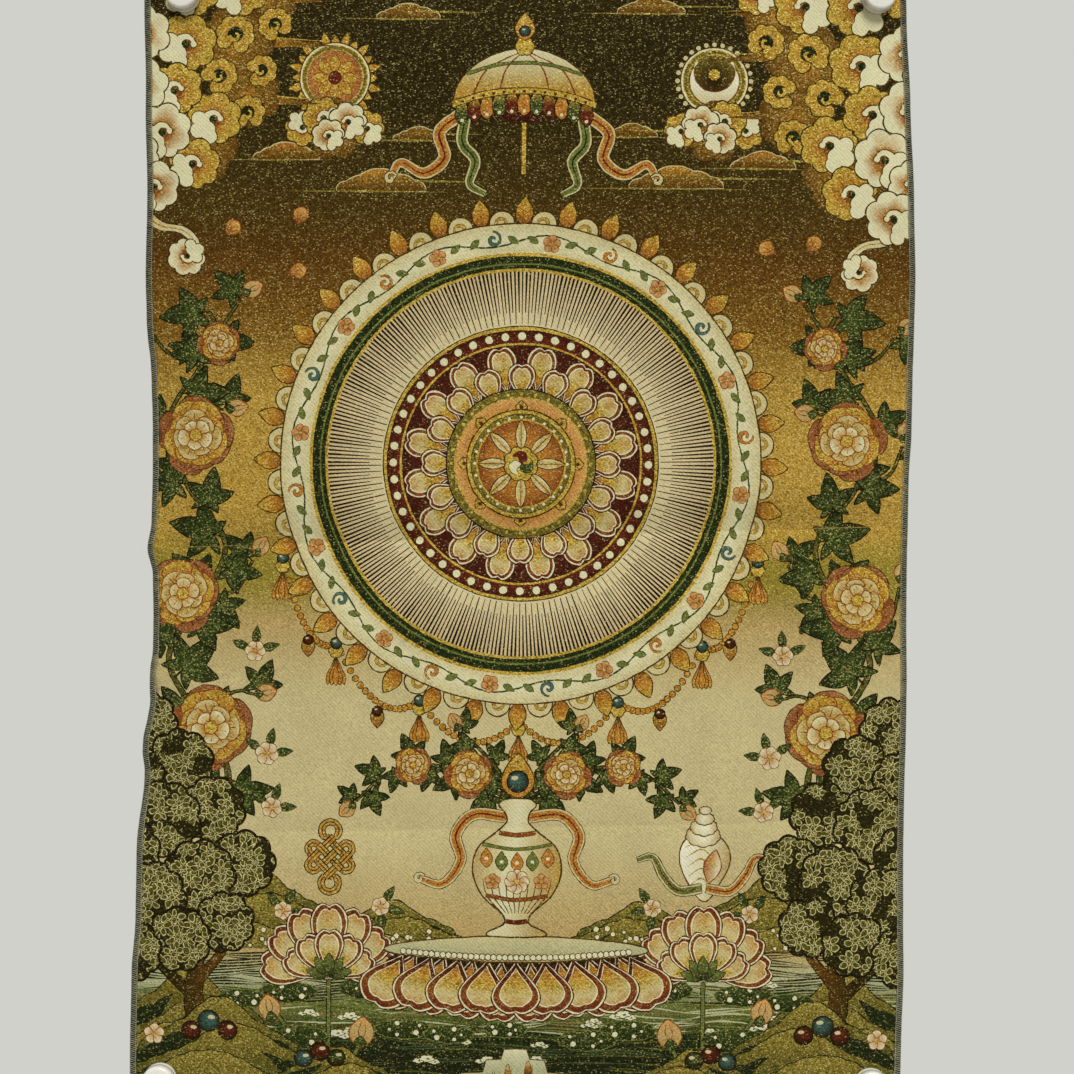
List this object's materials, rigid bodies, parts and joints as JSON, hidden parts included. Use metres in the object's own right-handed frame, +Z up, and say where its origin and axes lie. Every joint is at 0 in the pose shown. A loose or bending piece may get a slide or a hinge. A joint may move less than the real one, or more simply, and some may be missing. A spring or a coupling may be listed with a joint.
{
  "type": "woven thangka hanging with button magnets",
  "caption": "Portrait brocade cloth with overlocked edges and a soft fold across its middle, pinned flat to a board by a round button magnet near each corner.",
  "frame": {"origin": "middle of the cloth's top edge, on the plane of the board that it is pinned to", "axes": "+X to the right as seen from the front, +Y into the board, +Z up; the cloth faces -Y"},
  "size_m": [0.6118, 0.0113, 0.9],
  "materials": {
    "brocade": "jacquard weave with glittering gold thread",
    "edging_thread": "dark green-grey overlock thread",
    "magnet_plastic": "smooth warm white"
  },
  "bodies": {
    "root": {"brocade_cloth": "brocade", "edging_left": "edging_thread", "edging_right": "edging_thread", "edging_top": "edging_thread", "edging_bottom": "edging_thread", "magnet_top_left": "magnet_plastic", "magnet_top_right": "magnet_plastic", "magnet_bottom_left": "magnet_plastic", "magnet_bottom_right": "magnet_plastic"}
  },
  "joints": []
}
